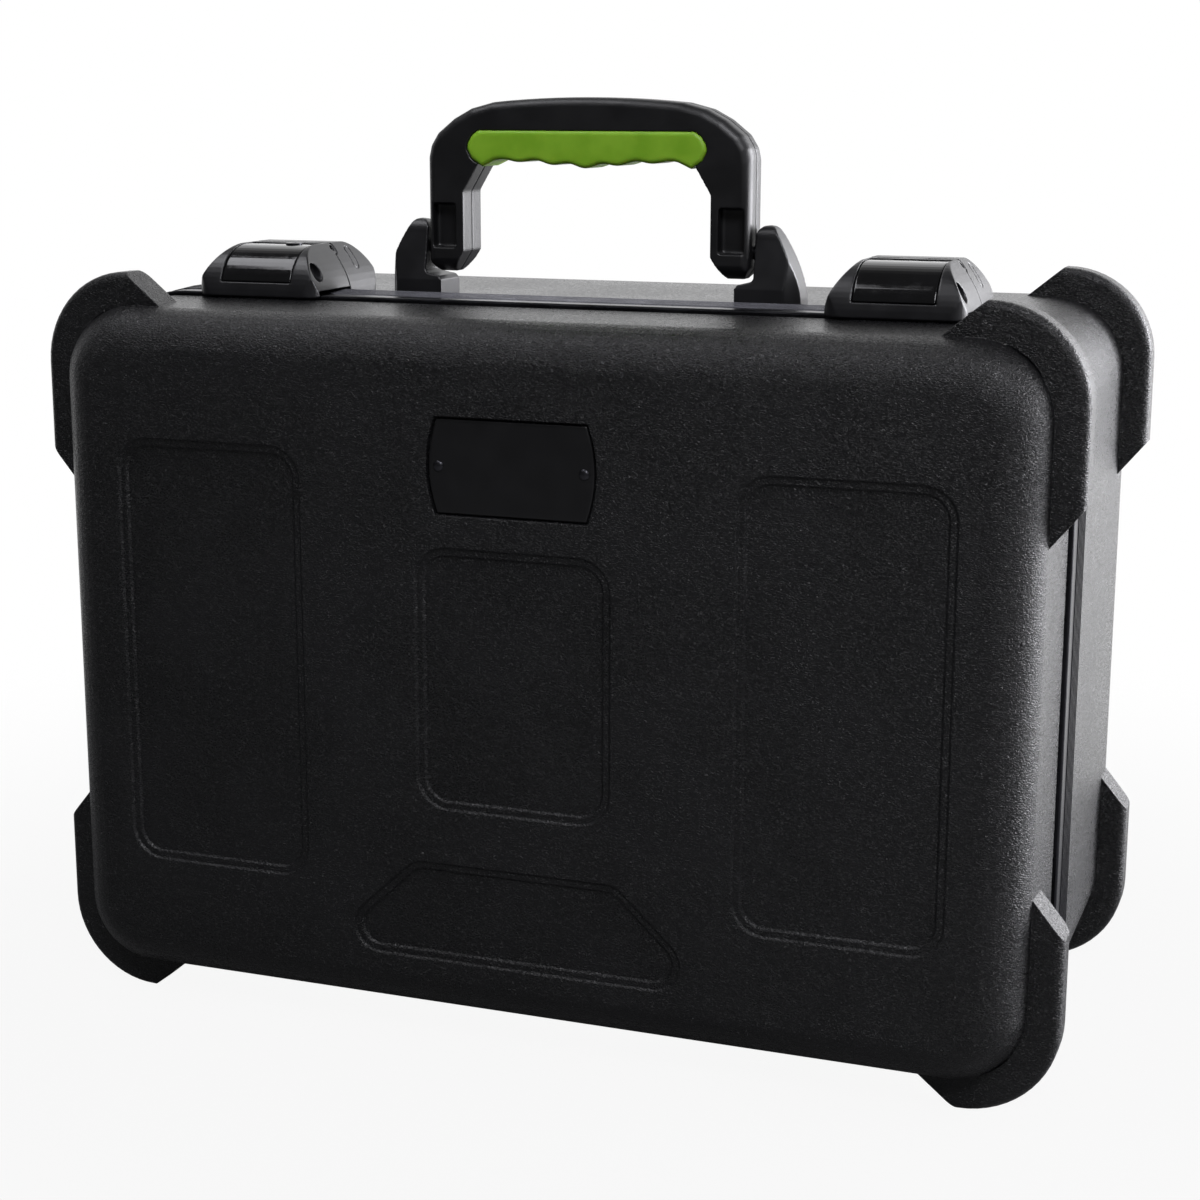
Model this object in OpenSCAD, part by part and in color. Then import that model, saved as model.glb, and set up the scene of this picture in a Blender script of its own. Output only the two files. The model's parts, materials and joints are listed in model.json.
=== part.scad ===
// Moulded microphone case, standing on its corner bumpers with the lid to the front.
// Millimetres. X runs to the right, Y from the lid to the back, Z up. The origin is on the
// floor under the middle of the case. Depths in this file are counted from the lid's front.

/* [Case] */
// Width over the corner bumpers
case_w = 500; // [460:10:540]
// Height over the corner bumpers, without handle and latches
case_h = 360; // [340:4:380]
// Depth from the lid's front face to the base's back face
case_d = 256; // [240:2:280]
// Depth of the lid, from its front face to its edge
lid_d = 62; // [58:1:68]
// Thickness of the moulded walls
wall = 4; // [3:0.5:4]
// Radius of the upright corners at the joint between lid and base
corner_r = 36; // [36:1:38]
// Rounding between the faces and the side walls
face_r = 22; // [20:1:24]

/* [Corner bumpers] */
// How far the bumpers stand out from the side walls
bumper_out = 13; // [12:0.5:14]
// How far the bumpers stand out above and below
bumper_rise = 14; // [13:0.5:15]
// Depth of the bumper band
bumper_t = 18; // [14:1:20]
// Set-back of the bumper band from the face
bumper_set = 19; // [17:1:21]
// Outer radius of the bumper's corner
bumper_r = 44; // [43:1:45]
// Straight part of the bumper's arm along the side wall
bumper_arm = 41; // [30:1:50]

/* [Panels] */
// Depth of the recessed panels
panel_depth = 2.2; // [1:0.1:2.4]
// Corner radius of the recessed panels
panel_r = 16; // [14:1:18]

/* [Valance] */
// Width of the ribbed metal edge on the base
valance_w = 27.4; // [24:0.2:29]
// How far the metal edge stands out from the wall
valance_out = 3.4; // [2.8:0.1:3.4]

/* [Handle] */
// Overall width of the handle
handle_w = 162; // [158:1:162]
// Thickness of the handle from front to back
handle_t = 22; // [21:1:22]
// Height of the handle's top above the floor
handle_top = 441.5; // [439:0.5:444]

/* [Latches] */
// Distance of each latch from the middle
latch_x = 157; // [145:1:158]
// Width of a latch at its foot
latch_w = 65; // [64:1:66]
// Width of the trigger
trigger_w = 37; // [36:0.5:37]

/* [Interior] */
// Microphone pockets across
pocket_cols = 5; // [4:1:5]
// Microphone pockets in height
pocket_rows = 3; // [2:1:3]
// Diameter of a pocket's neck
pocket_d = 36; // [32:1:38]
// Diameter of a pocket's head recess
pocket_head_d = 56; // [50:1:58]

/* [Hidden] */
$fn = 48;
eps = 0.01;

// heights and half sizes of the shells
mid_h = case_h / 2;
side_x = case_w / 2 - bumper_out;
top_h = case_h - bumper_rise;
axis_x = side_x - corner_r;
axis_h = top_h - mid_h - corner_r;
seam_gap = 2.6;
lid_draft = 1.4;
base_draft = 0.4;
land_end = 134;
valance_y = lid_d + seam_gap;
valance_lip = 2;
shell_y = valance_y + valance_lip;
arc_steps = 9;

// colours
black = "#1b1c1e";
satin = "#2b2c30";
metal = "#3c3d42";
foam = "#26272a";
green = "#7fb41e";
steel = "#9a9ca0";

// ---------------------------------------------------------------- shared forms

// Puts a form drawn with X right, Y up and Z into the depth where the case stands.
module stand() translate([0, -case_d / 2, 0]) rotate([90, 0, 0]) mirror([0, 0, 1]) children();

// Draws a profile of [depth, height] points as a bar along X between two places.
module bar_x(profile, x0, x1)
    translate([x0, -case_d / 2, 0]) rotate([90, 0, 90]) linear_extrude(x1 - x0) polygon(profile);

// A round bar along X at a depth and a height.
module rod_x(depth, h, r, x0, x1)
    translate([x0, depth - case_d / 2, h]) rotate([0, 90, 0]) cylinder(h = x1 - x0, r = r);

function arc(c, r, a0, a1, n = arc_steps) =
    [for (i = [0:n]) let (a = a0 + (a1 - a0) * i / n) c + r * [cos(a), sin(a)]];

function oval_arc(c, rx, ry, a0, a1, n = 14) =
    [for (i = [0:n]) let (a = a0 + (a1 - a0) * i / n) c + [rx * cos(a), ry * sin(a)]];

function unit(v) = v / norm(v);

// Moves every point of a closed counter-clockwise outline inwards by d.
function inset(path, d) = let (n = len(path)) [for (i = [0:n - 1])
    let (u = unit(path[i] - path[(i + n - 1) % n]), v = unit(path[(i + 1) % n] - path[i]))
    path[i] + d * [-u[1] - v[1], u[0] + v[0]] / (1 + u * v)];

// A slab with shaped edges: each step is [depth, how far the outline is drawn in there].
module shaped_slab(path, steps) {
    n = len(path);
    m = len(steps);
    points = [for (s = steps) for (p = inset(path, s[1])) [p[0], p[1], s[0]]];
    sides = [for (k = [0:m - 2]) for (i = [0:n - 1]) let (j = (i + 1) % n)
        [k * n + i, (k + 1) * n + i, (k + 1) * n + j, k * n + j]];
    caps = [[for (i = [0:n - 1]) i], [for (i = [n - 1:-1:0]) (m - 1) * n + i]];
    polyhedron(points, concat(sides, caps));
}

// The same for a strip between two edges a and b that have as many points each: a runs
// counter-clockwise and b beside it, from the same end.
module shaped_strip(a, b, steps) {
    k = len(a);
    path = concat(a, [for (i = [k - 1:-1:0]) b[i]]);
    n = 2 * k;
    m = len(steps);
    points = [for (s = steps) for (p = inset(path, s[1])) [p[0], p[1], s[0]]];
    sides = [for (j = [0:m - 2]) for (i = [0:n - 1]) let (u = j * n + i, v = j * n + (i + 1) % n)
        each [[u, u + n, v + n], [u, v + n, v]]];
    ends = [for (i = [0:k - 2]) each [[i, i + 1, n - 2 - i], [i, n - 2 - i, n - 1 - i]]];
    far = [for (f = ends) [(m - 1) * n + f[0], (m - 1) * n + f[2], (m - 1) * n + f[1]]];
    polyhedron(points, concat(sides, ends, far));
}

// Carries a profile of [distance from the corner axis, depth] round a rectangle: straight along
// the four sides and turned a quarter round each corner axis.
module carried(profile, hx, hy) {
    corners = [[hx, hy], [-hx, hy], [-hx, -hy], [hx, -hy]];
    for (q = [0:3]) {
        translate(corners[q]) rotate(90 * q) rotate_extrude(angle = 90) polygon(profile);
        rotate(90 * q) translate([q % 2 == 0 ? hx : hy, 0, 0]) rotate([90, 0, 0])
            linear_extrude(2 * (q % 2 == 0 ? hy : hx), center = true) polygon(profile);
    }
}

// The solid inside such a profile, which then starts and ends on the corner axis.
module filled(profile, hx, hy) {
    depths = [for (p = profile) p[1]];
    carried(profile, hx, hy);
    translate([-hx, -hy, min(depths)]) cube([2 * hx, 2 * hy, max(depths) - min(depths)]);
}

module left_and_right() for (side = [0, 1]) mirror([side, 0, 0]) children();

// ---------------------------------------------------------------- moulded shells

// Side wall and rounded face of the lid, t in from the outside.
function lid_profile(t) = let (r = corner_r - lid_draft - face_r) concat(
    [[0, lid_d], [corner_r - t, lid_d]],
    arc([r, face_r], face_r - t, 0, -90), [[0, t]]);

// Side wall and rounded face of the base: flat land behind the joint, then a slight taper.
function base_profile(t) = let (r = corner_r - base_draft - face_r) concat(
    [[0, shell_y], [corner_r - t, shell_y], [corner_r - t, land_end]],
    arc([r, case_d - face_r], face_r - t, 0, 90), [[0, case_d - t]]);

bumper_axis = [case_w / 2 - bumper_r, mid_h - bumper_r];
bumper_root = bumper_r - bumper_rise - 3;
bumper_edge = 4;
arm_end = 21;
arm_slope = [14, 17];

// Section of the bumper band, from its root inside the wall to its rounded outer edges.
bumper_profile = concat([[bumper_root, 0]],
    arc([bumper_r - bumper_edge, bumper_edge], bumper_edge, -90, 0, 5),
    arc([bumper_r - bumper_edge, bumper_t - bumper_edge], bumper_edge, 0, 90, 5),
    [[bumper_root, bumper_t]]);

// Straight arm of a bumper, running down from its corner and cut off on the slant.
module bumper_arm(straight) difference() {
    rotate([90, 0, 0]) linear_extrude(straight + arm_end) polygon(bumper_profile);
    translate([bumper_r, -straight, -1]) linear_extrude(bumper_t + 2) polygon(
        [[0, 0], [1, 0], [1, -2 * arm_end], [-2 * arm_slope[0], -2 * arm_slope[1]]]);
}

module bumper() translate(bumper_axis) {
    rotate_extrude(angle = 90) polygon(bumper_profile);
    bumper_arm(bumper_arm);
    mirror([1, -1, 0]) bumper_arm(0.5);
}

// Four bumpers whose band starts at a depth.
module bumpers(depth) translate([0, mid_h, depth])
    for (a = [0, 1]) for (b = [0, 1]) mirror([a, 0, 0]) mirror([0, b, 0]) bumper();

// Recessed panels of both faces, as [left, bottom, right, top].
side_panel = [104.5, 76, 201.5, 285];
middle_panel = [-48, 118, 48, 243];
ledge = panel_depth / 2;
ledge_w = 3.7;

// Border of the panels, going down in two soft steps: each is [depth, how far in].
panel_steps = [[-1, -0.6], [0, 0], [0.25, 0.6], [ledge - 0.2, 1], [ledge, 1.5], [ledge, ledge_w],
    [ledge + 0.25, ledge_w + 0.6], [panel_depth - 0.2, ledge_w + 1], [panel_depth, ledge_w + 1.5]];
panel_profile = concat([[0, -1]], [for (s = panel_steps) [panel_r - s[1], s[0]]],
    [[0, panel_depth]]);

module panel(box) translate([(box[0] + box[2]) / 2, (box[1] + box[3]) / 2, 0])
    filled(panel_profile, (box[2] - box[0]) / 2 - panel_r, (box[3] - box[1]) / 2 - panel_r);

// Lower panel: a low trapezium with rounded corners.
foot_panel = concat(arc([-68.5, 57], 13.6, 133, 270, 8), arc([68.5, 57], 13.6, -90, 47, 8),
    arc([45.5, 80.8], 12, 47, 90, 4), arc([-45.5, 80.8], 12, 90, 133, 4));

module panels() {
    panel(side_panel);
    mirror([1, 0, 0]) panel(side_panel);
    panel(middle_panel);
    shaped_slab(foot_panel, panel_steps);
}

// Badge outline: straight above and below, bulging at the ends.
badge_h = 279.8;
badge_half = [36, 21.5];
badge_bulge = 60;
badge_turn = asin(badge_half[1] / badge_bulge);
badge_end = badge_half[0] - badge_bulge * cos(badge_turn);
badge_path = concat(arc([badge_end, 0], badge_bulge, -badge_turn, badge_turn, 8),
    arc([-badge_end, 0], badge_bulge, 180 - badge_turn, 180 + badge_turn, 8));
badge_t = 1.6;
badge_floor = 2.4;
rivet_x = 35;

module lid_shell() color(black) difference() {
    lid_moulding();
    for (s = [-1, 1]) latch_at(s) keeper_plate(0.05);
}

module lid_moulding() stand() difference() {
    union() {
        translate([0, mid_h, 0]) filled(lid_profile(0), axis_x, axis_h);
        bumpers(bumper_set);
    }
    translate([0, mid_h, 0]) filled(concat([[0, lid_d + 1], [corner_r - wall, lid_d + 1]],
        [for (p = lid_profile(wall)) if (p[0] > 0) p], [[0, wall]]), axis_x, axis_h);
    panels();
    translate([0, badge_h, 0]) shaped_slab(badge_path, [[-1, -1.6], [0, -1], [badge_floor, -0.4]]);
}

bracket_bolt_x = [78.5, 96];
bolt_r = 2;
bolt_head_r = 4;
bolt_head_t = 1.8;
bolt_head_room = 0.6;

module base_shell() color(black) difference() {
    stand() difference() {
        union() {
            translate([0, mid_h, 0]) filled(base_profile(0), axis_x, axis_h);
            bumpers(case_d - bumper_set - bumper_t);
        }
        translate([0, mid_h, 0]) filled(concat([[0, shell_y - 1], [corner_r - wall, shell_y - 1]],
            [for (p = base_profile(wall)) if (p[0] > 0) p], [[0, case_d - wall]]),
            axis_x, axis_h);
        translate([0, 0, case_d]) mirror([0, 0, 1]) panels();
    }
    left_and_right() for (x = bracket_bolt_x)
        translate([x, handle_y - case_d / 2, top_h - wall - 1]) cylinder(h = wall + 2, r = bolt_r);
}

// ---------------------------------------------------------------- metal edges and seal faces

tongue = [corner_r - 7.4, corner_r - 6];
groove = [corner_r - 8.8, corner_r - 5.6];
rim_in = corner_r - 10;
clip_in = corner_r - wall - 2.5;

// Level of the edge's outside between its ribs, a little higher to the back.
rib_h = 0.45;
valance_rise = 1.3;
ribs_at = [10.6, 13.4, 16.2, 19, 21.8, 24.6];

function rim_level(d) = corner_r + valance_out - rib_h - valance_rise * (1 - d / valance_w);

function rib(d) = [[rim_level(d), valance_y + d], [rim_level(d) + rib_h, valance_y + d + 0.3],
    [rim_level(d) + rib_h, valance_y + d + 1], [rim_level(d), valance_y + d + 1.3]];

// Ribbed edge on the base: clips round the wall's edge and takes the lid's tongue in its groove.
base_rim_profile = let (o = rim_level(0) + rib_h, y = valance_y, e = y + valance_w) concat([
    [rim_in, y], [groove[0], y], [groove[0], y + 4.6], [groove[1], y + 4.6], [groove[1], y],
    [o - 1, y], [o - 0.3, y + 0.3], [o, y + 1], [o, y + 1.8], [rim_level(2.1), y + 2.1]],
    [for (d = ribs_at) each rib(d)], [[rim_level(valance_w), e - 0.8],
    [rim_level(valance_w) - 0.8, e], [corner_r, e], [corner_r, shell_y],
    [corner_r - wall, shell_y], [corner_r - wall, y + 15], [clip_in, y + 15],
    [clip_in, y + 6.2], [rim_in, y + 6.2]]);

module base_valance() color(metal) stand() translate([0, mid_h, 0])
    carried(base_rim_profile, axis_x, axis_h);

clip_w = 12;
clip_taper = lid_draft * clip_w / (lid_d - face_r) + 0.02;

// Edge on the lid: clips inside the wall, closes the joint and carries the tongue.
lid_rim_profile = let (y = lid_d, f = valance_y - 0.4) [
    [rim_in, y], [clip_in, y], [clip_in, y - clip_w], [corner_r - wall - clip_taper, y - clip_w],
    [corner_r - wall - 0.02, y], [corner_r - 0.8, y], [corner_r - 0.8, f], [tongue[1], f],
    [tongue[1], f + 3.2], [tongue[1] - 0.3, f + 3.5], [tongue[0] + 0.3, f + 3.5],
    [tongue[0], f + 3.2], [tongue[0], f], [rim_in, f]];

module lid_valance() color(metal) stand() translate([0, mid_h, 0])
    carried(lid_rim_profile, axis_x, axis_h);

// ---------------------------------------------------------------- hinge under the joint

hinge_n = 17;
hinge_pitch = 20;
hinge_y = valance_y - 1.3;
hinge_h = 6.3;
knuckle_r = 3;
hinge_pin_r = 1.3;
hinge_fit = 0.05;
hinge_x0 = -hinge_n * hinge_pitch / 2;
leaf_w = 20;
leaf_t = 1.2;
link_w = 3.5;
rim_h = bumper_rise - valance_out;

// Side view of a leaf's plate under a wall at height h, on the side s of the pin.
function leaf_plate(h, s) = [[hinge_y + s * link_w, h - leaf_t], [hinge_y + s * leaf_w, h - leaf_t],
    [hinge_y + s * leaf_w, h], [hinge_y + s * link_w, h]];

// Side view of the web between a knuckle and its plate.
function leaf_web(h, s) = [[hinge_y, hinge_h + 1.4], [hinge_y, hinge_h + knuckle_r - eps],
    [hinge_y + s * (link_w - 1.4), h], [hinge_y + s * (link_w + 0.1), h],
    [hinge_y + s * (link_w + 0.1), h - leaf_t], [hinge_y + s * (link_w - 0.4), h - leaf_t]];

// One leaf with its knuckles first, first + 2, ...
module hinge_leaf(h, s, first) color(steel) difference() {
    union() {
        for (i = [first:2:hinge_n - 1]) let (x = hinge_x0 + i * hinge_pitch + 0.2) {
            rod_x(hinge_y, hinge_h, knuckle_r, x, x + hinge_pitch - 0.4);
            bar_x(leaf_web(h, s), x, x + hinge_pitch - 0.4);
        }
        bar_x(leaf_plate(h, s), hinge_x0, -hinge_x0);
    }
    rod_x(hinge_y, hinge_h, hinge_pin_r + hinge_fit, hinge_x0 - 1, 1 - hinge_x0);
}

module hinge_leaf_base() hinge_leaf(rim_h, 1, 0);
module hinge_leaf_lid() hinge_leaf(bumper_rise, -1, 1);

module hinge_pin() color(steel) {
    rod_x(hinge_y, hinge_h, hinge_pin_r, hinge_x0 - 1, 1 - hinge_x0);
    left_and_right() rod_x(hinge_y, hinge_h, hinge_pin_r + 0.8, -hinge_x0 - 0.2, 1.2 - hinge_x0);
}

// ---------------------------------------------------------------- interior

foam_front = 97;
foam_back = case_d - face_r;
foam_gap = 0.5;
foam_r = corner_r - base_draft - wall - foam_gap;
pocket_pitch = [76, 70];
pocket_mid_h = 220;
pocket_head = 26;
pocket_depth = 120;
tray = [-190, 36, 190, 100];
tray_depth = 90;
tray_r = 14;

module mic_pocket() {
    translate([0, 0, foam_front - 1]) cylinder(h = pocket_head + 1, d = pocket_head_d);
    translate([0, 0, foam_front]) cylinder(h = pocket_depth, d = pocket_d);
}

module foam_block() difference() {
    translate([0, mid_h, 0]) filled([[0, foam_front], [foam_r, foam_front],
        [foam_r, foam_back], [0, foam_back]], axis_x, axis_h);
    for (c = [0:pocket_cols - 1]) for (r = [0:pocket_rows - 1])
        translate([(c - (pocket_cols - 1) / 2) * pocket_pitch[0],
            pocket_mid_h + (r - (pocket_rows - 1) / 2) * pocket_pitch[1], 0]) mic_pocket();
    translate([(tray[0] + tray[2]) / 2, (tray[1] + tray[3]) / 2, 0])
        filled([[0, foam_front - 1], [tray_r, foam_front - 1],
            [tray_r, foam_front + tray_depth], [0, foam_front + tray_depth]],
            (tray[2] - tray[0]) / 2 - tray_r, (tray[3] - tray[1]) / 2 - tray_r);
}

// The foam block has a recess for each bracket screw's head.
module base_foam() color(foam) difference() {
    stand() foam_block();
    left_and_right() for (x = bracket_bolt_x)
        translate([x, handle_y - case_d / 2, top_h - wall - bolt_head_t - foam_gap])
            cylinder(h = wall, r = bolt_head_r + bolt_head_room);
}

module base_pad() color(foam) stand() translate([0, mid_h, 0])
    filled(concat([[0, foam_back], [foam_r, foam_back]],
        arc([corner_r - base_draft - face_r, case_d - face_r], face_r - wall - foam_gap, 0, 90),
        [[0, case_d - wall - foam_gap]]), axis_x, axis_h);

lid_foam_back = 30;

module lid_foam() color(foam) stand() translate([0, mid_h, 0])
    filled(concat([[0, lid_foam_back], [corner_r - lid_draft - wall - foam_gap, lid_foam_back]],
        arc([corner_r - lid_draft - face_r, face_r], face_r - wall - foam_gap, 0, -90),
        [[0, wall + foam_gap]]), axis_x, axis_h);

// ---------------------------------------------------------------- badge

module badge_plate() color(black) stand() translate([0, badge_h, 0]) difference() {
    shaped_slab(badge_path, [[badge_floor - badge_t, 0.5], [badge_floor - badge_t + 0.5, 0],
        [badge_floor, 0]]);
    for (s = [-1, 1]) translate([s * rivet_x, 0, 0]) cylinder(h = 3, r = 1.3);
}

module badge_rivets() color(steel) stand() for (s = [-1, 1]) translate([s * rivet_x, badge_h, 0]) {
    rotate_extrude() polygon(concat([[0, badge_floor - badge_t]],
        [for (i = [0:6]) let (a = 90 * i / 6) [2.5 * cos(a), 0.8 - 1.1 * sin(a)]]));
    translate([0, 0, badge_floor - badge_t - eps]) cylinder(h = badge_t + eps, r = 1.3);
}

// ---------------------------------------------------------------- handle

handle_y = 104;
handle_pivot_h = top_h + 25;
handle_pin_r = 3;
leg_round = 12.5;
half_w = handle_w / 2;
leg_in = half_w - 19;
crown_r = 486;
bar_low = handle_top - 25.8;
handle_edge = 5;
edge_turn = 80;
leg_foot = handle_pivot_h - 12;

// Corner of the handle's front view, going down from the crown in short flats to the leg.
elbow = [for (p = [[34, 2.2], [22.1, 5.3], [13.1, 10.1], [4.6, 16.9], [1, 22.7], [0, 27]])
    [half_w - p[0], handle_top - p[1]]];

// Section across an outer side at r with edges rounded by e, for more than the thickness.
function edge_section(r, inner, e) = let (t = handle_t / 2,
    c = [r - e, t - e * sin(edge_turn - 6)], out = r - e - 8)
    concat([[inner, -t - 2], [out, -t - 2]], arc([c[0], -c[1]], e, -edge_turn, 0, 6),
        arc(c, e, 0, edge_turn, 6), [[out, t + 2], [inner, t + 2]]);

// Everything on the inner side of a rounded flat through p that faces the angle a.
module rounded_side(p, a, e) translate([p[0], p[1], 0]) rotate(a) rotate([90, 0, 0])
    linear_extrude(1000, center = true) polygon(edge_section(0, -300, e));

// Flats of one elbow; their edges are rounded a little more towards the leg.
module elbow_flats() intersection_for (i = [0:len(elbow) - 2])
    let (d = elbow[i + 1] - elbow[i])
        rounded_side(elbow[i], 90 + atan2(d[1], d[0]), handle_edge + 0.17 * (i + 1));

// Front view of the handle with room round its outside, which is rounded afterwards.
handle_side = [[leg_in, leg_foot + 10], [half_w - 12.5, leg_foot], [half_w - 4, leg_foot],
    [half_w + 3, leg_foot + 10], [half_w + 3, handle_top + 3]];
handle_under = [[leg_in, leg_foot + 38.5], [leg_in - 7.2, leg_foot + 50.5], [leg_in - 10, bar_low]];
handle_path = let (side = concat([for (i = [2:-1:0]) handle_under[i]], handle_side))
    concat(side, [for (i = [len(side) - 1:-1:0]) [-side[i][0], side[i][1]]]);

// The whole handle: under the crown, between the legs' outsides and inside both elbows.
module handle_form() stand() translate([0, 0, handle_y]) intersection() {
    linear_extrude(handle_t, center = true) polygon(handle_path);
    translate([0, handle_top - crown_r, 0])
        rotate_extrude($fn = 720) polygon(edge_section(crown_r, 0, handle_edge));
    rounded_side([half_w, 0], 0, handle_edge + 0.1);
    rounded_side([-half_w, 0], 180, handle_edge + 0.1);
    elbow_flats();
    mirror([1, 0, 0]) elbow_flats();
}

grip_sink = 2.2;
window = [leg_in + 4, handle_pivot_h - 0.5, half_w - 3, handle_pivot_h + 20.5];
window_depth = 6;

ridge_pitch = 16.8;

// Palm side of the grip: finger ridges that are deepest in the middle.
function grip_low(x) = bar_low - 3.1 - 2 * exp(-pow(x / 18, 2))
    - (1.1 + 0.7 * exp(-pow(x / 25, 2))) * (1 + cos(360 * x / ridge_pitch)) / 2;

grip_half = half_w - 21;
grip_top = bar_low + 10.6;
grip_x = [for (x = [-46:2:46]) x];

// Cut-off ends of the grip, from the tip inwards: below and above.
grip_end_low = [[0, 1.6], [2.4, -3], [7.6, -6.6]];
grip_end_top = [[0.4, 4.4], [2.4, 8], [6, 10.6]];

function grip_edge_line(end, line) = concat([for (p = end) [-grip_half + p[0], bar_low + p[1]]],
    line, [for (i = [len(end) - 1:-1:0]) [grip_half - end[i][0], bar_low + end[i][1]]]);

grip_under = grip_edge_line(grip_end_low, [for (x = grip_x) [x, grip_low(x)]]);
grip_over = grip_edge_line(grip_end_top, [for (x = grip_x) [x, grip_top]]);
grip_path = concat(grip_under, [for (i = [len(grip_over) - 1:-1:0]) grip_over[i]]);

// The handle's legs end round about the pivot, so that they turn clear of the brackets' feet.
module leg_ends() translate([-half_w - 1, handle_y - case_d / 2, handle_pivot_h])
    rotate([90, 0, 90]) linear_extrude(handle_w + 2) {
        circle(r = leg_round, $fn = 96);
        translate([-handle_t, 0]) square([2 * handle_t, 120]);
    }

module grip_seat() for (y = [-1, handle_t - grip_sink])
    translate([0, 0, y]) linear_extrude(grip_sink + 1) polygon(grip_path);

module leg_bores() left_and_right()
    rod_x(handle_y, handle_pivot_h, handle_pin_r + 0.05, half_w - 9, half_w + 5);

// Half of the handle on one side of the parting plane.
module handle_half(front) color(satin) difference() {
    intersection() {
        handle_form();
        leg_ends();
        translate([-half_w - 1, handle_y - case_d / 2 - (front ? handle_t : 0), leg_foot - 1])
            cube([handle_w + 2, handle_t, handle_top]);
    }
    stand() translate([0, 0, handle_y - handle_t / 2]) grip_seat();
    leg_bores();
    if (front) stand() left_and_right() translate([0, 0, handle_y - handle_t / 2 - 1])
        linear_extrude(window_depth + 1) polygon([[window[0], window[1]], [window[2], window[1]],
            [window[2], window[3]], [window[0], window[3]]]);
    if (!front) left_and_right() for (h = handle_screw_h) stand()
        translate([handle_screw_x, h, handle_y + handle_t / 2 - 3]) cylinder(h = 4, r = 3);
}

handle_screw_x = leg_in + 9.5;
handle_screw_h = [handle_pivot_h + 18, handle_pivot_h + 50];

module handle_front_half() handle_half(true);
module handle_rear_half() handle_half(false);

module handle_screws() color(steel) stand() left_and_right() for (h = handle_screw_h)
    translate([handle_screw_x, h, handle_y + handle_t / 2 - 3]) difference() {
        cylinder(h = 1.8, r = 2.8);
        translate([-2, -0.4, 1]) cube([4, 0.8, 1]);
        translate([-0.4, -2, 1]) cube([0.8, 4, 1]);
    }

grip_edge = [[-0.6, 1.6], [0.1, 0.4], [1, 0]];

module handle_grip() color(green) stand() translate([0, 0, handle_y - handle_t / 2]) difference() {
    shaped_strip(grip_under, grip_over, concat(grip_edge,
        [for (i = [2:-1:0]) [handle_t - grip_edge[i][0], grip_edge[i][1]]]));
    translate([0, 0, grip_sink]) linear_extrude(handle_t - 2 * grip_sink) polygon([
        [-grip_half - 1, leg_foot], [-leg_in, leg_foot + 38.5], [-leg_in + 7.2, leg_foot + 50.5],
        [-leg_in + 10, bar_low], [leg_in - 10, bar_low], [leg_in - 7.2, leg_foot + 50.5],
        [leg_in, leg_foot + 38.5], [grip_half + 1, leg_foot], [half_w, leg_foot],
        [half_w, handle_top], [-half_w, handle_top], [-half_w, leg_foot]]);
}

// Bracket beside each leg: a foot on the base and a horn that holds the pivot.
horn_in = half_w + 1.8;
horn_top = handle_pivot_h + 13;
foot_in = half_w - 7;
foot_out = half_w + 22.7;
foot_top = handle_pivot_h - 13;
horn_path = concat([[foot_in, top_h], [foot_out, top_h]],
    [for (i = [1:8]) let (t = i / 8) [foot_out - 12 * t * t, top_h + 36.5 * t]],
    [[half_w + 9.6, horn_top - 0.5], [half_w + 7.6, horn_top], [half_w + 4.6, horn_top - 0.4],
        [half_w + 2.8, horn_top - 1.8], [horn_in, horn_top - 4], [horn_in, foot_top + 1.8]],
    [[horn_in - 0.6, foot_top + 0.6], [horn_in - 2, foot_top - 0.2],
        [foot_in + 1.4, foot_top - 1.2], [foot_in, foot_top - 3]]);

module bracket() color(satin) difference() {
    intersection() {
        stand() translate([0, 0, handle_y - 11]) linear_extrude(22) polygon(horn_path);
        translate([0, handle_y - case_d / 2, top_h - 1]) linear_extrude(60) polygon([[foot_in, -11],
            [foot_out - 6, -11], [foot_out, -1], [foot_out, 11], [foot_in, 11]]);
        translate([foot_in - 1, handle_y - case_d / 2, 0]) rotate([90, 0, 90]) linear_extrude(40) {
            polygon([[-11, top_h - 1], [11, top_h - 1], [11, top_h + 9], [6.5, horn_top - 6.5],
                [-6.5, horn_top - 6.5], [-11, top_h + 9]]);
            translate([0, horn_top - 6.5]) circle(r = 6.5);
        }
    }
    rod_x(handle_y, handle_pivot_h, handle_pin_r, half_w - 1, half_w + 7);
    for (x = bracket_bolt_x) translate([x, handle_y - case_d / 2, top_h - 1])
        cylinder(h = 7, r = bolt_r);
}

module bracket_right() bracket();
module bracket_left() mirror([1, 0, 0]) bracket();

module handle_pins() color(steel) left_and_right()
    rod_x(handle_y, handle_pivot_h, handle_pin_r, half_w - 8.5, half_w + 7);

module bracket_screws() color(steel) left_and_right() for (x = bracket_bolt_x)
    translate([x, handle_y - case_d / 2, 0]) {
        translate([0, 0, top_h - wall]) cylinder(h = wall + 6, r = bolt_r);
        translate([0, 0, top_h - wall - bolt_head_t]) cylinder(h = bolt_head_t, r = bolt_head_r);
    }

// ---------------------------------------------------------------- latches

latch_y0 = lid_d - 4;
latch_len = 73;
latch_h = 25;
arch_y = 26;
arch_h = 23;
split_y = latch_y0 + 39.2;
pivot_y = latch_y0 + 39.6;
barrel_r = 2.6;
barrel_room = 0.7;
pivot_h = top_h + latch_h - barrel_r;
latch_pin_r = 1.3;
pin_y = latch_y0 + 10;
pin_h = top_h + 12.5;
pin_r = 2;
pin_bowl_r = 4.4;
run_fit = 0.05;
sill_h = top_h + 7.6;
frame_low = top_h + 1;
rim_clear = 0.5;
knuckle_in = 7;
knuckle_out = 16;
latch_pin_end = 19;
trigger_gap = 0.5;
trigger_reach = 23.8;
trigger_r = 27.3;

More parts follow.
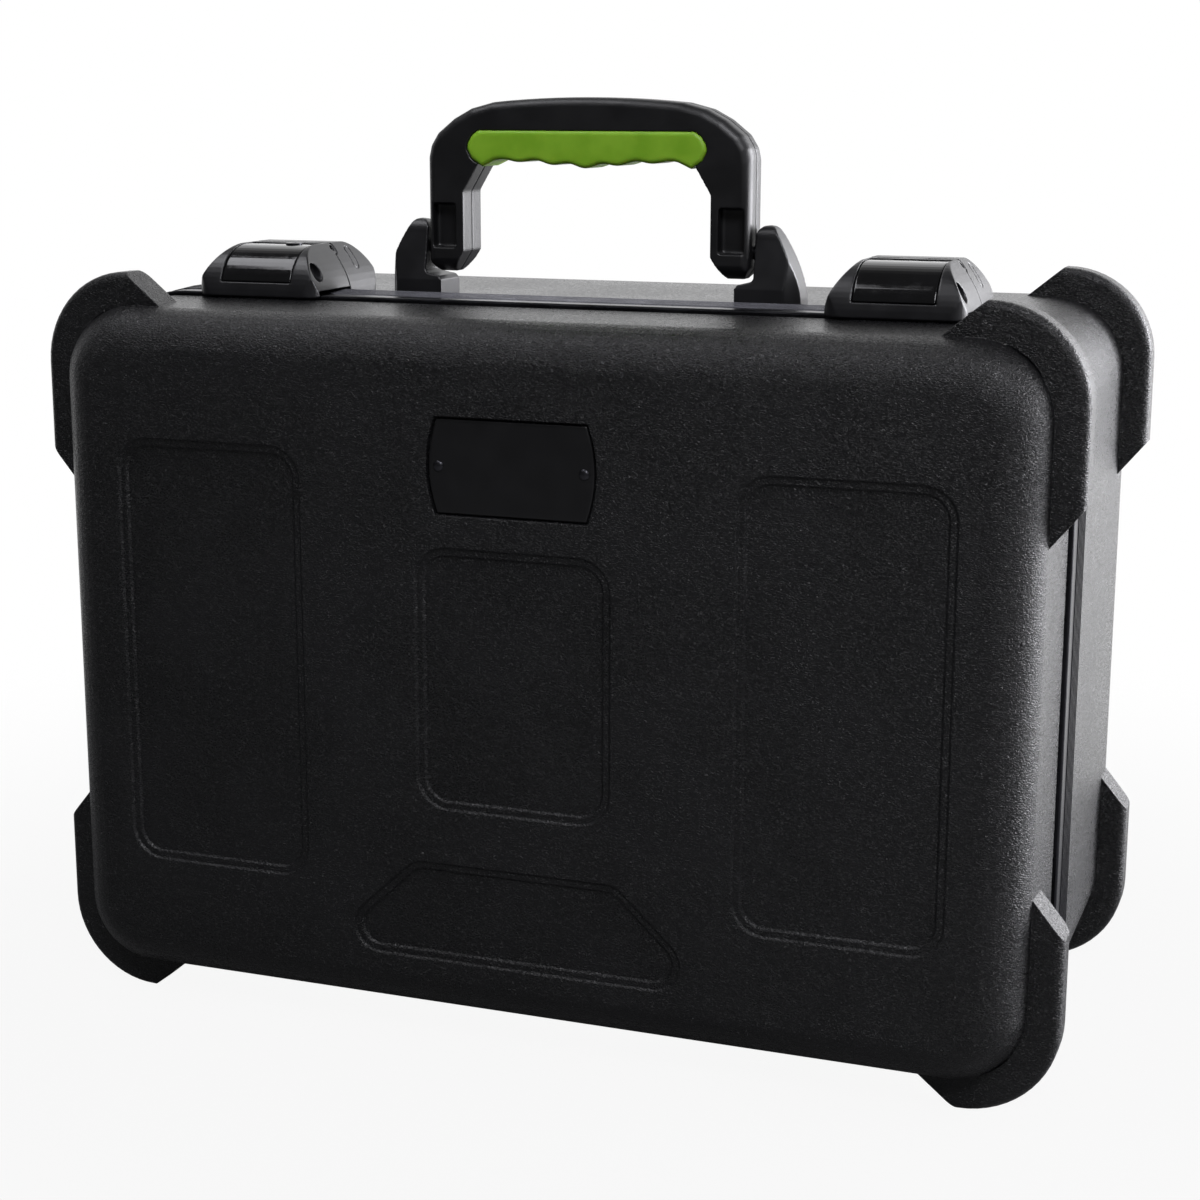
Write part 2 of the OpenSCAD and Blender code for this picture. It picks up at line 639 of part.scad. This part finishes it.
// Side view of the latch: an arch from the sill over the flat top to the rounded back.
function arch(t) = concat(
    [[latch_y0 + t, top_h]],
    oval_arc([latch_y0 + arch_y, top_h + 2], arch_y - t, arch_h - t, 180, 90),
    oval_arc([latch_y0 + latch_len - 20, top_h + 2], 20 - t, arch_h - t, 90, 0),
    [[latch_y0 + latch_len - t, top_h]]);

// Front view of the latch: side walls that lean in towards the top.
latch_section = let (side = [for (i = [0:8]) let (t = i / 8)
    [latch_w / 2 - 12.5 * pow(t, 1.7), top_h + latch_h * t]])
    concat(side, [for (i = [8:-1:0]) [-side[i][0], side[i][1]]]);

plan_r = 8;

module latch_block(y0, y1) intersection() {
    bar_x(arch(0), -latch_w, latch_w);
    stand() translate([0, 0, latch_y0 - 1]) linear_extrude(latch_len + 2) polygon(latch_section);
    translate([0, -case_d / 2, top_h - 1]) linear_extrude(latch_h + 2) polygon(concat(
        arc([latch_w / 2 - plan_r, latch_y0 + plan_r], plan_r, -90, 0, 8),
        arc([latch_w / 2 - plan_r, latch_y0 + latch_len - plan_r], plan_r, 0, 90, 8),
        arc([plan_r - latch_w / 2, latch_y0 + latch_len - plan_r], plan_r, 90, 180, 8),
        arc([plan_r - latch_w / 2, latch_y0 + plan_r], plan_r, 180, 270, 8)));
    translate([-latch_w, y0 - case_d / 2, top_h]) cube([2 * latch_w, y1 - y0, latch_h + 2]);
}

// The fixed rear part of the latch, with two hinge knuckles and an inlaid oval on each side.
module latch_base() color(satin) difference() {
    union() {
        difference() {
            latch_block(split_y + 0.4, latch_y0 + latch_len);
            rod_x(pivot_y, pivot_h, barrel_r + barrel_room, -latch_w, latch_w);
        }
        left_and_right() {
            rod_x(pivot_y, pivot_h, barrel_r, knuckle_in + 0.3, knuckle_out);
            translate([knuckle_in + 0.3, pivot_y - case_d / 2, pivot_h - barrel_r])
                cube([knuckle_out - knuckle_in - 0.3, barrel_r + 2, barrel_r]);
        }
    }
    rod_x(pivot_y, pivot_h, latch_pin_r, -latch_pin_end, latch_pin_end);
    left_and_right() inlay_line();
}

inlay_at = [latch_w / 2 - 6.8, latch_y0 + 54 - case_d / 2, top_h + 17.5];
inlay_lean = 57;
inlay_len = 7.6;
inlay_r = 2.2;
inlay_line_w = 0.6;
inlay_line_depth = 0.7;

module oval(r) {
    for (s = [-1, 1]) translate([s * inlay_len / 2, 0]) circle(r = r);
    square([inlay_len, 2 * r], center = true);
}

// The fine line round the oval inlay that lies down the side slope.
module inlay_line() translate(inlay_at) rotate([0, inlay_lean, 0])
    translate([0, 0, -inlay_line_depth]) linear_extrude(6) difference() {
        oval(inlay_r + inlay_line_w);
        oval(inlay_r);
    }

// The swinging frame: cheeks, sill and cross bar around the trigger's window.
module latch_frame() color(satin) difference() {
    union() {
        latch_block(latch_y0, split_y);
        intersection() {
            rod_x(pivot_y, pivot_h, barrel_r, -latch_w, latch_w);
            stand() translate([0, 0, latch_y0]) linear_extrude(latch_len) polygon(latch_section);
        }
    }
    left_and_right() rod_x(pivot_y, pivot_h, barrel_r + 0.3, knuckle_in, knuckle_out + 0.3);
    rod_x(pivot_y, pivot_h, latch_pin_r + run_fit, -latch_w, latch_w);
    bar_x(concat([[latch_y0 - 1, top_h + 40], [latch_y0 - 1, sill_h], [latch_y0 + 3.5, sill_h],
        [latch_y0 + 4.5, sill_h - 1], [latch_y0 + 4.5, top_h - 1], [pin_y + trigger_r, top_h - 1]],
        arc([pin_y, pin_h], trigger_r, 0, asin(12.5 / trigger_r)),
        [[pin_y + trigger_reach + trigger_gap, top_h + 40]]),
        -trigger_w / 2 - trigger_gap, trigger_w / 2 + trigger_gap);
    bar_x([[latch_y0 - 1, top_h - 1], [lid_d + 2, top_h - 1], [lid_d + 2, top_h + valance_out + rim_clear],
        [split_y + 2, top_h + valance_out + rim_clear], [split_y + 2, frame_low - 3],
        [latch_y0 - 1, frame_low - 3]], -latch_w, latch_w);
    translate([-latch_w, latch_y0 - 1 - case_d / 2, top_h - 1])
        cube([2 * latch_w, 7, frame_low - top_h + 1]);
    rod_x(pin_y, pin_h, pin_r, -latch_w, latch_w);
    left_and_right() rod_x(pin_y, pin_h, pin_bowl_r, 24, latch_w);
}

// The trigger: a curved plate that turns on the pin between the cheeks.
trigger_t = 2.8;
trigger_end = pin_y + trigger_reach;
trigger_path = let (c = [latch_y0 + arch_y, top_h + 2],
    outer = [for (p = oval_arc(c, arch_y - trigger_gap, arch_h - trigger_gap, 164.5, 90)) p],
    inner = [for (p = oval_arc(c, arch_y - trigger_gap - trigger_t,
        arch_h - trigger_gap - trigger_t, 90, 162)) p])
    concat(outer, [[trigger_end, c[1] + arch_h - trigger_gap],
        [trigger_end, c[1] + arch_h - trigger_gap - trigger_t]], inner);

module trigger() color("#0c0c0e") difference() {
    union() {
        bar_x(trigger_path, -trigger_w / 2, trigger_w / 2);
        left_and_right() rod_x(pin_y, pin_h, 4.2, trigger_w / 2 - 5, trigger_w / 2);
    }
    rod_x(pin_y, pin_h, pin_r + run_fit, -trigger_w, trigger_w);
    rod_x(pin_y, pin_h, spring_coil + spring_wire + 0.35, -5, 5);
}

lock_x = 7;
lock_y = latch_y0 + 28.6;
lock_r = 4;
lock_top = top_h + latch_h + 0.3;

module lock_place() translate([lock_x, lock_y - case_d / 2, 0]) children();

module trigger_with_lock() difference() {
    union() {
        trigger();
        color("#0c0c0e") lock_place() translate([0, 0, lock_top - 9])
            cylinder(h = 8, r = lock_r + 2);
    }
    lock_place() translate([0, 0, lock_top - 20]) cylinder(h = 40, r = lock_r + run_fit);
}

module latch_lock() color(steel) translate([-latch_x, 0, 0]) lock_place() difference() {
    union() {
        translate([0, 0, lock_top - 9.6]) cylinder(h = 9.6, r = lock_r);
        translate([0, 0, lock_top - 10.4]) cylinder(h = 1.1, r = lock_r + 1.2);
    }
    translate([-0.6, -2.2, lock_top - 3]) cube([1.2, 4.4, 4]);
}

module trigger_pin() color(steel) rod_x(pin_y, pin_h, pin_r, -23.8, 23.8);

// Return spring of the trigger: a coil round the pin.
spring_wire = 0.5;
spring_coil = 3;
spring_turns = 5;
spring_steps = 8;
spring_sides = 6;

module trigger_spring() color(steel) translate([-4, pin_y - case_d / 2, pin_h]) {
    n = spring_turns * spring_steps;
    points = [for (i = [0:n]) for (k = [0:spring_sides - 1])
        let (a = 360 * i / spring_steps, b = 360 * k / spring_sides,
            r = spring_coil + spring_wire * cos(b))
        [8 * i / n + spring_wire * sin(b), r * cos(a), r * sin(a)]];
    sides = [for (i = [0:n - 1]) for (k = [0:spring_sides - 1])
        let (k2 = (k + 1) % spring_sides, a = i * spring_sides, b = a + spring_sides)
        each [[a + k, b + k, b + k2], [a + k, b + k2, a + k2]]];
    polyhedron(points, concat(sides, [[for (k = [0:spring_sides - 1]) k],
        [for (k = [spring_sides - 1:-1:0]) n * spring_sides + k]]));
}

module latch_at(side) translate([side * latch_x, 0, 0]) children();

module latch_base_left() latch_at(-1) latch_base();
module latch_base_right() latch_at(1) latch_base();
module latch_frame_left() latch_at(-1) latch_frame();
module latch_frame_right() latch_at(1) latch_frame();
module trigger_left() latch_at(-1) trigger_with_lock();
module trigger_right() latch_at(1) trigger();
module trigger_pin_left() latch_at(-1) trigger_pin();
module trigger_pin_right() latch_at(1) trigger_pin();
module trigger_spring_left() latch_at(-1) trigger_spring();
module trigger_spring_right() latch_at(1) trigger_spring();

module latch_hinge_pins() color(steel) for (s = [-1, 1]) latch_at(s)
    rod_x(pivot_y, pivot_h, latch_pin_r, -latch_pin_end, latch_pin_end);

// Strike plates let into the lid's edge under the latch sills.
keeper = [40, 3, 1.2];

module keeper_plate(fit) translate([-keeper[0] / 2 - fit, lid_d - keeper[1] - fit - case_d / 2,
    top_h - keeper[2]]) cube([keeper[0] + 2 * fit, keeper[1] + 2 * fit, keeper[2] + 2 * fit]);

module latch_keepers() color(steel) for (s = [-1, 1]) latch_at(s)
    intersection() {
        keeper_plate(0);
        stand() translate([0, mid_h, 0]) filled(lid_profile(0), axis_x, axis_h);
    }

base_shell();
base_valance();
base_foam();
base_pad();
hinge_leaf_base();
hinge_pin();
latch_base_left();
latch_base_right();
latch_hinge_pins();
bracket_left();
bracket_right();
bracket_screws();
handle_pins();
lid_shell();
lid_valance();
lid_foam();
badge_plate();
badge_rivets();
hinge_leaf_lid();
latch_keepers();
handle_front_half();
handle_rear_half();
handle_grip();
handle_screws();
latch_frame_left();
latch_frame_right();
trigger_pin_left();
trigger_pin_right();
trigger_left();
trigger_right();
trigger_spring_left();
trigger_spring_right();
latch_lock();
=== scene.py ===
import json
import math

import bmesh
import bpy
from mathutils import Matrix, Vector

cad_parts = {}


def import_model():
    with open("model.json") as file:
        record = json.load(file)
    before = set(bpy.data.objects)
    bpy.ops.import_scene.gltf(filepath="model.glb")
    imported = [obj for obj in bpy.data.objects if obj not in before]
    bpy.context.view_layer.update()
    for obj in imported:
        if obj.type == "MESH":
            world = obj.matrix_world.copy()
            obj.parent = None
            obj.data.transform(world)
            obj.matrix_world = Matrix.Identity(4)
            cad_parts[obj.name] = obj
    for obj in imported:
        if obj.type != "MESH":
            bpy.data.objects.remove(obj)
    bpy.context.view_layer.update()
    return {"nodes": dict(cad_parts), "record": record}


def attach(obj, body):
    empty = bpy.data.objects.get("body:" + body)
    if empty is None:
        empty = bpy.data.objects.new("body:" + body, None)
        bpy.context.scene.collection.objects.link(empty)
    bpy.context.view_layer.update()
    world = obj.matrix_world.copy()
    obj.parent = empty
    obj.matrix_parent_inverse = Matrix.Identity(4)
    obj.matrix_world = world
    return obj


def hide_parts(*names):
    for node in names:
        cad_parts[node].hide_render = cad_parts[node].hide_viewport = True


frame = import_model()
NODES = frame["nodes"]
BODY_OF = {n: b for b, ns in frame["record"]["behaviour"]["bodies"].items() for n in ns}
MM = 0.001


# ---------------------------------------------------------------- materials

class Graph:
    """A small helper that builds the node tree of a material or a world."""

    def __init__(self, owner):
        owner.use_nodes = True
        self.tree = owner.node_tree
        self.tree.nodes.clear()

    def node(self, kind, **settings):
        made = self.tree.nodes.new(kind)
        for key, value in settings.items():
            setattr(made, key, value)
        return made

    def put(self, socket, value):
        if isinstance(value, bpy.types.NodeSocket):
            self.tree.links.new(value, socket)
        else:
            socket.default_value = value

    def math(self, operation, a, b):
        made = self.node("ShaderNodeMath", operation=operation)
        self.put(made.inputs[0], a)
        self.put(made.inputs[1], b)
        return made.outputs["Value"]

    def ramp(self, fac, low, high, out_low=0.0, out_high=1.0):
        made = self.node("ShaderNodeMapRange", interpolation_type="SMOOTHSTEP")
        self.put(made.inputs["Value"], fac)
        for key, value in zip(("From Min", "From Max", "To Min", "To Max"),
                              (low, high, out_low, out_high)):
            self.put(made.inputs[key], value)
        return made.outputs["Result"]

    def length(self, vector):
        made = self.node("ShaderNodeVectorMath", operation="LENGTH")
        self.put(made.inputs[0], vector)
        return made.outputs["Value"]

    def depth(self, vector):
        """The part of a vector that points from the lid to the back."""
        made = self.node("ShaderNodeSeparateXYZ")
        self.put(made.inputs["Vector"], vector)
        return made.outputs["Y"]

    def mixed(self, fac, a, b):
        made = self.node("ShaderNodeMixShader")
        self.put(made.inputs["Fac"], fac)
        self.put(made.inputs[1], a)
        self.put(made.inputs[2], b)
        return made.outputs["Shader"]


class Shader(Graph):
    """One surface material, with its texture sizes in millimetres."""

    def __init__(self, name):
        self.material = bpy.data.materials.new(name)
        super().__init__(self.material)
        self.surface = self.node("ShaderNodeBsdfPrincipled")
        out = self.node("ShaderNodeOutputMaterial")
        self.put(out.inputs["Surface"], self.surface.outputs["BSDF"])
        self.place = self.node("ShaderNodeTexCoord").outputs["Object"]
        self.normal = None

    def scaled(self, factors):
        made = self.node("ShaderNodeMapping")
        self.put(made.inputs["Vector"], self.place)
        made.inputs["Scale"].default_value = factors
        return made.outputs["Vector"]

    def noise(self, size, detail=2.0, rough=0.5, distort=0.0, factors=(1, 1, 1)):
        """Noise whose features are about size millimetres across."""
        made = self.node("ShaderNodeTexNoise")
        self.put(made.inputs["Vector"], self.scaled(factors))
        made.inputs["Scale"].default_value = 1.0 / (size * MM)
        made.inputs["Detail"].default_value = detail
        made.inputs["Roughness"].default_value = rough
        made.inputs["Distortion"].default_value = distort
        return made.outputs["Fac"]

    def cells(self, size, warp, warp_size, factors=(1, 1, 1)):
        """Cells about size millimetres across, their borders pushed about by warp millimetres."""
        made = self.node("ShaderNodeTexVoronoi", feature="DISTANCE_TO_EDGE")
        shift = self.node("ShaderNodeTexNoise")
        self.put(shift.inputs["Vector"], self.place)
        shift.inputs["Scale"].default_value = 1.0 / (warp_size * MM)
        add = self.node("ShaderNodeVectorMath", operation="MULTIPLY_ADD")
        self.put(add.inputs[0], shift.outputs["Color"])
        add.inputs[1].default_value = (warp * MM,) * 3
        self.put(add.inputs[2], self.scaled(factors))
        self.put(made.inputs["Vector"], add.outputs["Vector"])
        made.inputs["Scale"].default_value = 1.0 / (size * MM)
        return made.outputs["Distance"]

    def mix(self, fac, a, b):
        made = self.node("ShaderNodeMix", data_type="RGBA")
        self.put(made.inputs["Factor"], fac)
        self.put(made.inputs[6], a)
        self.put(made.inputs[7], b)
        return made.outputs[2]

    def bump(self, height, depth, strength):
        """Adds relief of depth millimetres under the relief made so far."""
        made = self.node("ShaderNodeBump")
        made.inputs["Strength"].default_value = strength
        made.inputs["Distance"].default_value = depth * MM
        self.put(made.inputs["Height"], height)
        if self.normal:
            self.put(made.inputs["Normal"], self.normal)
        self.normal = made.outputs["Normal"]

    def painted_edge_highlight(self, colour, amount, highlight_colour):
        """The colour with outer edges made paler as a painted highlight, found from how the surface
        bends.
        """
        bend = self.node("ShaderNodeNewGeometry").outputs["Pointiness"]
        edge = self.ramp(bend, 0.52, 0.58)
        return self.mix(self.math("MULTIPLY", edge, amount), colour, highlight_colour)

    def done(self, colour, rough, metallic=0.0, **sockets):
        """Joins up the surface's sockets and gives the finished material."""
        self.put(self.surface.inputs["Base Color"], colour)
        self.put(self.surface.inputs["Roughness"], rough)
        self.put(self.surface.inputs["Metallic"], metallic)
        for key, value in sockets.items():
            self.put(self.surface.inputs[key.replace("_", " ")], value)
        if self.normal:
            self.put(self.surface.inputs["Normal"], self.normal)
        return self.material


def grey(value, tint=(1.0, 1.0, 1.0)):
    return (value * tint[0], value * tint[1], value * tint[2], 1.0)


COOL = (0.97, 0.97, 1.09)


def shell_material():
    """Moulded black plastic with a leather-like grain of short level wrinkles."""
    s = Shader("moulded_grain")
    wide = (0.5, 0.55, 1.0)
    wrinkle = s.cells(0.9, 0.9, 1.6, wide)
    fold = s.noise(0.9, 3.0, 0.6, 0.8, wide)
    pores = s.noise(0.35, 2.0)
    s.bump(s.ramp(wrinkle, 0.0, 0.32), 0.2, 0.85)
    s.bump(fold, 0.42, 0.8)
    s.bump(pores, 0.04, 0.4)
    cloud = s.noise(60, 3.0)
    tone = s.mix(s.ramp(cloud, 0.3, 0.7), grey(0.0040, COOL), grey(0.0062, COOL))
    # outer edges painted paler: a painted edge highlight
    tone = s.painted_edge_highlight(tone, 0.2, grey(0.016, COOL))
    rough = s.math("ADD", s.ramp(cloud, 0.25, 0.75, 0.25, 0.30),
                   s.ramp(fold, 0.35, 0.7, 0.06, -0.04))
    return s.done(tone, rough, Specular_IOR_Level=0.42)


def satin_material(name, shade, rough, grain, relief):
    """Smooth moulded parts with a very fine spark-eroded texture."""
    s = Shader(name)
    fine = s.noise(grain, 3.0, 0.6)
    broad = s.noise(14, 2.0)
    s.bump(fine, relief, 0.6)
    tone = s.mix(s.ramp(broad, 0.3, 0.7), grey(shade * 0.85, COOL), grey(shade * 1.15, COOL))
    # outer edges painted paler: a painted edge highlight
    tone = s.painted_edge_highlight(tone, 0.15, grey(shade * 2.6, COOL))
    soft = s.math("ADD", s.ramp(broad, 0.25, 0.75, rough - 0.04, rough + 0.04),
                  s.ramp(fine, 0.3, 0.7, 0.02, -0.02))
    return s.done(tone, soft)


def gloss_material():
    """Polished black plastic with a faint smear of handling."""
    s = Shader("gloss_black")
    film = s.noise(9, 2.0)
    s.bump(film, 0.03, 0.2)
    smear = s.noise(3.5, 3.0, 0.6, 1.2, (1, 0.3, 1))
    return s.done(s.mix(film, grey(0.004), grey(0.007, COOL)),
                  s.ramp(smear, 0.3, 0.75, 0.07, 0.17))


def metal_material(name, shade, rough, along):
    """Anodised or plated metal with fine lines along its length."""
    s = Shader(name)
    lines = s.noise(0.5, 2.0, 0.6, 0.0, along)
    broad = s.noise(22, 2.0)
    s.bump(lines, 0.012, 0.4)
    tone = s.mix(s.ramp(broad, 0.3, 0.7), grey(shade * 0.88, COOL), grey(shade * 1.1, COOL))
    return s.done(tone, s.ramp(lines, 0.25, 0.75, rough - 0.05, rough + 0.07), 1.0)


def grip_material():
    """Soft yellow-green rubber with a fine matt skin."""
    s = Shader("grip_rubber")
    fine = s.noise(0.28, 3.0, 0.6)
    broad = s.noise(11, 2.0)
    s.bump(fine, 0.04, 0.5)
    tone = s.mix(s.ramp(broad, 0.3, 0.7), (0.19, 0.40, 0.012, 1), (0.245, 0.475, 0.02, 1))
    tone = s.mix(s.ramp(fine, 0.35, 0.7, 0.0, 0.25), tone, (0.29, 0.53, 0.035, 1))
    return s.done(tone, s.ramp(broad, 0.25, 0.75, 0.44, 0.54), Subsurface_Weight=0.08)


def foam_material():
    """Open-cell foam: a dull skin of small pits."""
    s = Shader("foam_cells")
    pits = s.cells(0.9, 0.4, 1.0)
    fuzz = s.noise(0.5, 4.0, 0.7)
    s.bump(s.ramp(pits, 0.0, 0.35), 0.25, 0.7)
    s.bump(fuzz, 0.2, 0.6)
    broad = s.noise(45, 3.0)
    tone = s.mix(s.ramp(broad, 0.3, 0.7), grey(0.018), grey(0.03))
    tone = s.mix(s.ramp(fuzz, 0.35, 0.7, 0.0, 0.5), tone, grey(0.055, COOL))
    return s.done(tone, s.ramp(fuzz, 0.3, 0.7, 0.86, 0.97), Sheen_Weight=0.15)


MATERIALS = {
    "shell": shell_material(),
    "valance": metal_material("anodised_edge", 0.055, 0.28, (0.04, 1.0, 0.04)),
    "latch": satin_material("satin_frame", 0.010, 0.36, 0.35, 0.03),
    "trigger": gloss_material(),
    "handle": satin_material("matt_handle", 0.006, 0.42, 0.45, 0.06),
    "grip": grip_material(),
    "badge": satin_material("badge_face", 0.005, 0.34, 0.25, 0.02),
    "steel": metal_material("plated_steel", 0.42, 0.26, (1.0, 1.0, 1.0)),
    "dark_steel": metal_material("blackened_steel", 0.06, 0.34, (1.0, 1.0, 1.0)),
    "foam": foam_material(),
}

SLOT_OF = {
    "shell": ["base_shell", "lid_shell"],
    "valance": ["base_valance", "lid_valance"],
    "latch": ["latch_base_left", "latch_base_right", "latch_frame_left", "latch_frame_right",
              "bracket_left", "bracket_right"],
    "trigger": ["trigger_left", "trigger_right"],
    "handle": ["handle_front_half", "handle_rear_half"],
    "grip": ["handle_grip"],
    "badge": ["badge_plate"],
    "steel": ["hinge_leaf_base", "hinge_leaf_lid", "hinge_pin", "latch_keepers",
              "trigger_spring_left", "trigger_spring_right"],
    "dark_steel": ["badge_rivets", "bracket_screws", "handle_pins", "handle_screws",
                   "latch_hinge_pins", "trigger_pin_left", "trigger_pin_right", "latch_lock"],
    "foam": ["base_foam", "base_pad", "lid_foam"],
}
SLOT = {n: slot for slot, names in SLOT_OF.items() for n in names}


# ---------------------------------------------------------------- worked copies of CAD forms

def smooth_shaded(mesh):
    mesh.polygons.foreach_set("use_smooth", [True] * len(mesh.polygons))
    mesh.update()


def flattened(obj):
    """Turns the object's modifiers into plain mesh."""
    depsgraph = bpy.context.evaluated_depsgraph_get()
    mesh = bpy.data.meshes.new_from_object(obj.evaluated_get(depsgraph))
    obj.modifiers.clear()
    obj.data = mesh


def form_of(node):
    """A copy of a CAD node to be worked on."""
    mesh = NODES[node].data.copy()
    mesh.materials.clear()
    obj = bpy.data.objects.new(node + "_form", mesh)
    bpy.context.scene.collection.objects.link(obj)
    return obj


def stands_for(obj, node):
    """Gives the worked copy its material and puts it in the CAD node's place."""
    obj.data.materials.append(MATERIALS[SLOT[node]])
    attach(obj, BODY_OF[node])
    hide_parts(node)
    return obj


def refined(node, voxel, rounds, keep):
    """A copy of a CAD node remeshed at voxel millimetres, with its edges and dents softened."""
    obj = form_of(node)
    scale = 1.0
    remesh = obj.modifiers.new("remesh", "REMESH")
    remesh.mode = "VOXEL"
    remesh.voxel_size = voxel * scale * MM
    smooth = obj.modifiers.new("smooth", "SMOOTH")
    smooth.factor = 0.5
    smooth.iterations = max(1, round(rounds / scale / scale))
    thin = obj.modifiers.new("thin", "DECIMATE")
    thin.ratio = keep
    flattened(obj)
    smooth_shaded(obj.data)
    return stands_for(obj, node)


SAME_POINT = 0.01 * MM
FLAT_WITHIN = math.radians(0.5)
HARD_EDGE = math.radians(24)


def edged(node, width):
    """A copy of a CAD node with its hard edges rounded by width, for crisp moulded steps."""
    obj = form_of(node)
    work = bmesh.new()
    work.from_mesh(obj.data)
    bmesh.ops.remove_doubles(work, verts=work.verts, dist=SAME_POINT)
    bmesh.ops.dissolve_limit(work, angle_limit=FLAT_WITHIN, verts=work.verts, edges=work.edges)
    work.to_mesh(obj.data)
    work.free()
    bevel = obj.modifiers.new("edges", "BEVEL")
    bevel.width = width * MM
    bevel.segments = 3
    bevel.limit_method = "ANGLE"
    bevel.angle_limit = HARD_EDGE
    obj.modifiers.new("weighted", "WEIGHTED_NORMAL")
    smooth_shaded(obj.data)
    flattened(obj)
    return stands_for(obj, node)


edged("lid_shell", 0.5)
edged("base_shell", 0.5)
for side in ("left", "right"):
    refined("latch_base_" + side, 0.25, 3, 0.4)
    refined("latch_frame_" + side, 0.4, 4, 0.5)
    refined("trigger_" + side, 0.35, 4, 0.5)
    refined("bracket_" + side, 0.5, 4, 0.6)
refined("handle_front_half", 0.7, 3, 0.5)
refined("handle_rear_half", 0.7, 3, 0.5)
refined("handle_grip", 0.6, 4, 0.6)
refined("badge_plate", 0.5, 2, 0.5)

for name, voxel in (("base_foam", 2.5), ("base_pad", 3.5), ("lid_foam", 3.0)):
    refined(name, voxel, 3, 0.7)

for name, node in NODES.items():
    if not node.hide_render:
        node.data.materials.clear()
        node.data.materials.append(MATERIALS[SLOT[name]])


# ---------------------------------------------------------------- camera, floor and light

SENSOR = 36.0
LENS = 67.51
CAMERA_RIGHT = (0.93790555, 0.34688255, 0.00238267)
CAMERA_UP = (-0.07724644, 0.20215391, 0.97630261)
CAMERA_BACK = (0.33818067, -0.91586369, 0.21639672)
CAMERA_PLACE = (379.0, -1038.45, 439.64)


def camera():
    """The camera solved from the case's edges in the photograph."""
    data = bpy.data.cameras.new("camera")
    data.sensor_width = SENSOR
    data.lens = LENS
    data.clip_start, data.clip_end = 0.05, 60.0
    obj = bpy.data.objects.new("camera", data)
    bpy.context.scene.collection.objects.link(obj)
    axes = [Vector(axis) for axis in (CAMERA_RIGHT, CAMERA_UP, CAMERA_BACK)]
    turn = Matrix(axes).transposed().to_4x4()
    obj.matrix_world = Matrix.Translation(Vector(CAMERA_PLACE) * MM) @ turn
    bpy.context.scene.camera = obj


FLOOR_HALF = 30.0
FLOOR_DROP = 0.0002
FLOOR_GREY = 0.20
AMBIENT = 0.06
LAMP_COLOUR = (0.955, 0.955, 1.0)


def floor_material():
    """Clear on white near and far but for a faint grey by the case, which takes its shadow.

    Reflections see it white behind the case, and an opened lid shows through it.
    """
    material = bpy.data.materials.new("floor_white")
    g = Graph(material)
    out = g.node("ShaderNodeOutputMaterial")
    paint = g.node("ShaderNodeBsdfDiffuse")
    paint.inputs["Color"].default_value = grey(FLOOR_GREY)
    white = g.node("ShaderNodeEmission")
    clear = g.node("ShaderNodeBsdfTransparent")
    place = g.node("ShaderNodeTexCoord").outputs["Object"]
    rays = g.node("ShaderNodeLightPath").outputs
    fade = g.ramp(g.length(place), 0.25, 0.8, 0.92, 1.0)
    behind = g.ramp(g.depth(place), 0.1, 0.6)
    mirrored = g.math("MULTIPLY", rays["Is Glossy Ray"], behind)
    passed = g.math("MAXIMUM", rays["Is Camera Ray"], rays["Is Shadow Ray"])
    lit = g.mixed(mirrored, paint.outputs["BSDF"], white.outputs["Emission"])
    whole = g.mixed(g.math("MULTIPLY", passed, fade), lit, clear.outputs["BSDF"])
    g.put(out.inputs["Surface"], whole)
    return material


def floor():
    mesh = bpy.data.meshes.new("floor")
    corners = [(x * FLOOR_HALF, y * FLOOR_HALF, 0) for x, y in ((-1, -1), (1, -1), (1, 1), (-1, 1))]
    mesh.from_pydata(corners, [], [(0, 1, 2, 3)])
    mesh.materials.append(floor_material())
    obj = bpy.data.objects.new("floor", mesh)
    bpy.context.scene.collection.objects.link(obj)
    obj.location = (0, 0, -FLOOR_DROP)


def world():
    """White where the camera looks, and for reflections white only behind the case."""
    made = bpy.data.worlds.new("studio")
    bpy.context.scene.world = made
    g = Graph(made)
    out = g.node("ShaderNodeOutputWorld")
    back = g.node("ShaderNodeBackground")
    back.inputs["Color"].default_value = grey(1)
    rays = g.node("ShaderNodeLightPath").outputs
    behind = g.ramp(g.depth(g.node("ShaderNodeTexCoord").outputs["Generated"]),
                    0.3, 0.9, AMBIENT, 1.0)
    level = g.ramp(rays["Is Glossy Ray"], 0.0, 1.0, AMBIENT, behind)
    g.put(back.inputs["Strength"], g.ramp(rays["Is Camera Ray"], 0.0, 1.0, level, 1.0))
    g.put(out.inputs["Surface"], back.outputs["Background"])


def softbox(name, place, aim, width, height, watts):
    data = bpy.data.lights.new(name, "AREA")
    data.shape = "RECTANGLE"
    data.size, data.size_y = width, height
    data.energy = watts
    data.color = LAMP_COLOUR
    obj = bpy.data.objects.new(name, data)
    bpy.context.scene.collection.objects.link(obj)
    obj.location = place
    obj.rotation_euler = (Vector(aim) - Vector(place)).to_track_quat("-Z", "Y").to_euler()
    obj.visible_camera = False


camera()
floor()
world()
softbox("back_box", (0.2, 3.2, 1.6), (0, 0, 0.3), 6.0, 2.8, 14)
softbox("right_box", (1.9, 1.1, 0.66), (0.1, 0, 0.25), 2.4, 1.2, 125)
softbox("top_box", (-0.9, -0.4, 2.2), (0, 0, 0.2), 1.5, 0.7, 15)
softbox("left_box", (-2.4, 0.6, 0.9), (0, 0, 0.2), 1.4, 1.4, 3)
softbox("key_box", (1.2, -1.9, 2.5), (0, 0, 0.3), 1.2, 0.9, 62)

bpy.context.scene.view_settings.view_transform = "Standard"
